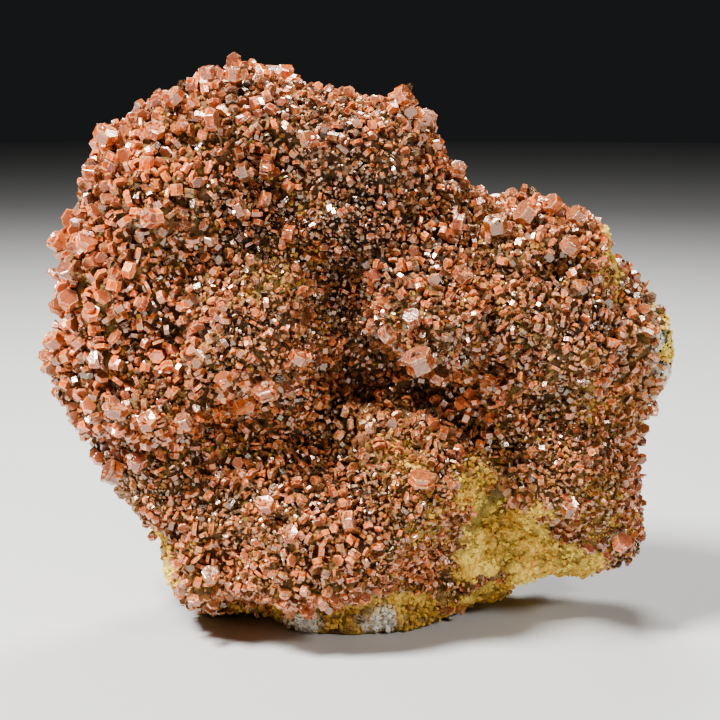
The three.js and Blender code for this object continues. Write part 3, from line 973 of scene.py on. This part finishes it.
class SPECIMEN_OT_small_crystals(bpy.types.Operator):
    """Cover the rock with small crystals where the CAD crust lies"""

    bl_idname = "specimen.small_crystals"
    bl_label = "Small Crystals"

    def execute(self, context):
        settings = context.scene.specimen_crystals
        rng = np.random.default_rng(settings.seed)
        rock = bpy.data.objects["matrix_rock"].data
        covered, crest, _ = vectors_of(rock, "growing").T
        crowd = Crowd(6 * MM)
        found = []
        for node in large_nodes():
            middle, axis, _, width, length = measured_crystal(node)
            crowd.admit(middle, 0.5 * max(width, length))
            found.append(companions(middle, axis, width, length, rng))
        for count, least, most, room, stand, dull, shares in LAYERS:
            chances = covered**1.5 * (0.2 + 0.8 * crest)
            tries = int(count * settings.cover)
            places, normals, height = scattered(rock, chances, crest[:, None], tries, rng)
            height = height[:, 0]
            zones = zone_blend(places)
            coarse = zones[:, 0] * (0.7 + 0.45 * height) * (1 + 0.3 * unevenness(places, 14 * MM, 31))
            width = MM * coarse * rng.uniform(least, most, len(places))
            kept = [i for i in range(len(places)) if crowd.admit(places[i], room * width[i])]
            zones = np.column_stack([zones, height])
            places, normals, width, zones = places[kept], normals[kept], width[kept], zones[kept]
            lean = unit(rng.normal(size=(len(kept), 3)))
            lying = np.einsum("ij,ij->i", lean, normals)[:, None]
            axes = unit(lean - 0.82 * lying * normals)
            length = width * np.clip(rng.lognormal(math.log(0.38), 0.36, len(kept)), 0.2, 1.3)
            middles = places + normals * (stand * width * rng.uniform(0.6, 1.3, len(kept)))[:, None]
            parts = with_books(middles, axes, width, length, zones, rng)
            total = len(parts[0])
            found.append((*parts, np.full(total, dull), rng.choice(len(SMALL_HABITS), total, p=shares)))
        middles, axes, width, length, zones, dull, which = (np.concatenate(part) for part in zip(*found))
        standing = middles[:, 2] > 0.62 * width
        middles, axes, width, length, zones, dull, which = (
            part[standing] for part in (middles, axes, width, length, zones, dull, which)
        )
        count = len(middles)
        spins = rng.uniform(0, math.pi, count)
        radius = width / math.sqrt(3)
        sizes = np.stack([radius, radius * rng.uniform(0.75, 1, count), length / 2], 1)
        patch = unevenness(middles, 16 * MM, 32)
        # Painted shade: crystals low in the creases between lumps are made browner and less orange; they are
        # also dustier there.
        painted_shade_and_dust_depth = 0.6 - zones[:, 4]
        orange = zones[:, 1] + 0.3 * patch - 0.4 * painted_shade_and_dust_depth + rng.normal(0, 0.36, count)
        brown = zones[:, 2] + dull + 0.1 - 0.25 * patch + 1.1 * painted_shade_and_dust_depth + rng.normal(0, 0.42, count)
        dusting = smooth_step(0.2, 0.7, unevenness(middles, 20 * MM, 33))
        dust = zones[:, 3] + 0.5 * dusting + 1.2 * dull + 0.5 * painted_shade_and_dust_depth + rng.normal(0, 0.16, count)
        tints = np.clip(np.stack([orange, brown, dust], 1), 0, 1)
        shapes = [finished_shape(habit) for habit in SMALL_HABITS]
        for name, members in self.regions(middles):
            piece = joined_copies(
                name, shapes, which[members], axes[members], spins[members], sizes[members], middles[members],
                tints[members],
            )
            piece.data.materials.append(crystal_material(settings))
            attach(piece, "root")
            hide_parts("crystal_crust")
        return {"FINISHED"}

    @staticmethod
    def regions(middles):
        """Share the crystals out by the quarter of the specimen that they stand in, and the edge behind."""
        behind = middles[:, 1] > -10 * MM
        right = middles[:, 0] > MIDDLE.x
        upper = middles[:, 2] > MIDDLE.z
        for side, on_side in (("left", ~right), ("right", right)):
            for level, on_level in (("lower", ~upper), ("upper", upper)):
                for depth, at_depth in (("front", ~behind), ("rim", behind)):
                    inside = np.nonzero(on_side & on_level & at_depth)[0]
                    yield f"small_crystals_{level}_{side}_{depth}", inside


# ---------------------------------------------------------------- earthy crumbs


def crumb():
    """A rough crumb of limonite."""
    deselect_all()
    bpy.ops.mesh.primitive_cube_add(size=1.5)
    item = bpy.context.active_object
    item.name = "crumb"
    bpy.ops.object.mode_set(mode="EDIT")
    bpy.ops.transform.vertex_random(offset=0.45, seed=4)
    return item


def crumb_material(settings):
    """Powdery limonite: no shine at all."""
    material, tree = new_material("limonite crumbs")
    tint = add_node(tree, "ShaderNodeAttribute", attribute_name="tint").outputs["Vector"]
    shares = add_node(tree, "ShaderNodeSeparateXYZ", {0: tint}).outputs
    colour = settings.ochre
    for factor, coat in zip(shares, (settings.pale_ochre, settings.goethite, settings.chalk)):
        mixed = add_node(tree, "ShaderNodeMix", {"Factor": factor, 6: colour, 7: coat}, data_type="RGBA")
        colour = mixed.outputs[2]
    surface = add_node(
        tree,
        "ShaderNodeBsdfPrincipled",
        {"Base Color": colour, "Roughness": 0.95, "Specular IOR Level": 0.15},
    )
    add_node(tree, "ShaderNodeOutputMaterial", {"Surface": surface})
    return material


class SPECIMEN_OT_crumbs(bpy.types.Operator):
    """Strew earthy crumbs over the bare ochre and between the crystals of the ochre parts"""

    bl_idname = "specimen.crumbs"
    bl_label = "Limonite Crumbs"

    def execute(self, context):
        settings = context.scene.specimen_rock
        rng = np.random.default_rng(11)
        rock = bpy.data.objects["matrix_rock"].data
        covered, _, ochre = vectors_of(rock, "growing").T
        chalk = vectors_of(rock, "ground")[:, 0]
        places, _ = mesh_arrays(rock)
        behind = smooth_step(10 * MM, 16 * MM, places[:, 1]) * (1 - covered)
        chances = shown_at(places, EARTH_PATCHES) + 0.16 * ochre * covered + 0.07 * behind
        values = np.stack([(1 - covered) * ochre, chalk, behind], 1)
        middles, normals, values = scattered(rock, chances, values, settings.crumbs, rng)
        size = MM * rng.uniform(0.3, 0.75, len(middles)) * (1 + 0.2 * values[:, 2])
        lift = rng.uniform(0, 0.7, len(middles)) * size
        lift += 0.8 * MM * (1 - values[:, 0]) * rng.random(len(middles))
        middles = middles + normals * (lift * (1 - values[:, 2]))[:, None]
        kept = middles[:, 2] > 1.7 * size
        middles, values, size = middles[kept], values[kept], size[kept]
        earthy, chalky, behind = values.T
        count = len(middles)
        pale = np.clip(unevenness(middles, 6 * MM, 51) + rng.normal(0.4, 0.4, count), 0, 1) * earthy**2
        stained = 1.1 * (1 - earthy) + behind + 0.5 * unevenness(middles, 9 * MM, 52)
        stained = np.clip(stained + rng.normal(-0.2, 0.2, count), 0, 1)
        axes = unit(rng.normal(size=(count, 3)))
        spins = rng.uniform(0, math.tau, count)
        sizes = size[:, None] * rng.uniform(0.6, 1.2, (count, 3))
        tints = np.stack([pale * (1 - 0.8 * behind), stained, chalky], 1)
        piece = joined_copies(
            "limonite_crumbs", [finished_shape(crumb)], np.zeros(count, int), axes, spins, sizes, middles,
            tints,
        )
        piece.data.materials.append(crumb_material(settings))
        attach(piece, "root")
        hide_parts("matrix")
        return {"FINISHED"}


# ---------------------------------------------------------------- stage


# Each light's place, its width, both in metres, and its power as a part of the key light's.
LIGHTS = (
    ("upper_left_light", (-0.44, -0.26, 0.80), 0.24, 1.0),
    ("upper_right_light", (0.50, -0.42, 0.46), 0.12, 0.1),
    ("back_light", (0.05, 0.5, 0.75), 0.3, 0.3),
)
AIM_HEIGHT = 72.5 * MM


class SPECIMEN_OT_stage(bpy.types.Operator):
    """Set the specimen on a plain pale floor with soft studio light and a camera"""

    bl_idname = "specimen.stage"
    bl_label = "Stage"

    def execute(self, context):
        settings = context.scene.specimen_stage
        deselect_all()
        bpy.ops.mesh.primitive_circle_add(vertices=96, radius=4, fill_type="NGON")
        floor = bpy.context.active_object
        floor.name = "studio_floor"
        material, tree = new_material("pale floor paper")
        surface = add_node(
            tree,
            "ShaderNodeBsdfPrincipled",
            {"Base Color": settings.floor, "Roughness": 0.7, "Specular IOR Level": 0.2},
        )
        add_node(tree, "ShaderNodeOutputMaterial", {"Surface": surface})
        floor.data.materials.append(material)
        target = Vector((MIDDLE.x, 0, AIM_HEIGHT))
        camera_data = bpy.data.cameras.new("Camera")
        camera_data.lens = settings.focal_length
        camera_data.sensor_width = 36
        camera = bpy.data.objects.new("Camera", camera_data)
        back = Vector((0, -math.cos(settings.elevation), math.sin(settings.elevation)))
        camera.location = target + settings.distance * back
        camera.rotation_euler = (-back).to_track_quat("-Z", "Y").to_euler()
        context.scene.collection.objects.link(camera)
        context.scene.camera = camera
        for name, place, size, share in LIGHTS:
            lamp = bpy.data.lights.new(name, "AREA")
            lamp.shape = "DISK"
            lamp.size = size
            lamp.energy = settings.light_power * share
            item = bpy.data.objects.new(name, lamp)
            item.location = Vector(place)
            item.rotation_euler = (target - item.location).to_track_quat("-Z", "Y").to_euler()
            context.scene.collection.objects.link(item)
        world = bpy.data.worlds.new("soft room")
        world.use_nodes = True
        background = world.node_tree.nodes["Background"]
        background.inputs["Color"].default_value = linear("#dfe3e8")
        background.inputs["Strength"].default_value = 0.015
        context.scene.world = world
        return {"FINISHED"}


# ---------------------------------------------------------------- panel and registration


class SPECIMEN_PT_panel(bpy.types.Panel):
    """The steps that build the specimen, in order, and their settings"""

    bl_idname = "SPECIMEN_PT_panel"
    bl_label = "Vanadinite Specimen"
    bl_space_type = "VIEW_3D"
    bl_region_type = "UI"
    bl_category = "Specimen"

    def draw(self, context):
        for group, steps in (
            (context.scene.specimen_rock, (SPECIMEN_OT_matrix, SPECIMEN_OT_crumbs)),
            (context.scene.specimen_crystals, (SPECIMEN_OT_large_crystals, SPECIMEN_OT_small_crystals)),
            (context.scene.specimen_stage, (SPECIMEN_OT_stage,)),
        ):
            box = self.layout.box()
            for name in group.bl_rna.properties.keys():
                if name not in {"rna_type", "name"}:
                    box.prop(group, name)
            for step in steps:
                box.operator(step.bl_idname)


CLASSES = (
    RockSettings,
    CrystalSettings,
    StageSettings,
    SPECIMEN_OT_matrix,
    SPECIMEN_OT_large_crystals,
    SPECIMEN_OT_small_crystals,
    SPECIMEN_OT_crumbs,
    SPECIMEN_OT_stage,
    SPECIMEN_PT_panel,
)


def register():
    for cls in CLASSES:
        bpy.utils.register_class(cls)
    bpy.types.Scene.specimen_rock = PointerProperty(type=RockSettings)
    bpy.types.Scene.specimen_crystals = PointerProperty(type=CrystalSettings)
    bpy.types.Scene.specimen_stage = PointerProperty(type=StageSettings)


def unregister():
    del bpy.types.Scene.specimen_stage
    del bpy.types.Scene.specimen_crystals
    del bpy.types.Scene.specimen_rock
    for cls in reversed(CLASSES):
        bpy.utils.unregister_class(cls)


def main():
    register()
    bpy.ops.specimen.stage()
    bpy.ops.specimen.matrix()
    bpy.ops.specimen.large_crystals()
    bpy.ops.specimen.small_crystals()
    bpy.ops.specimen.crumbs()


if __name__ == "__main__":
    main()
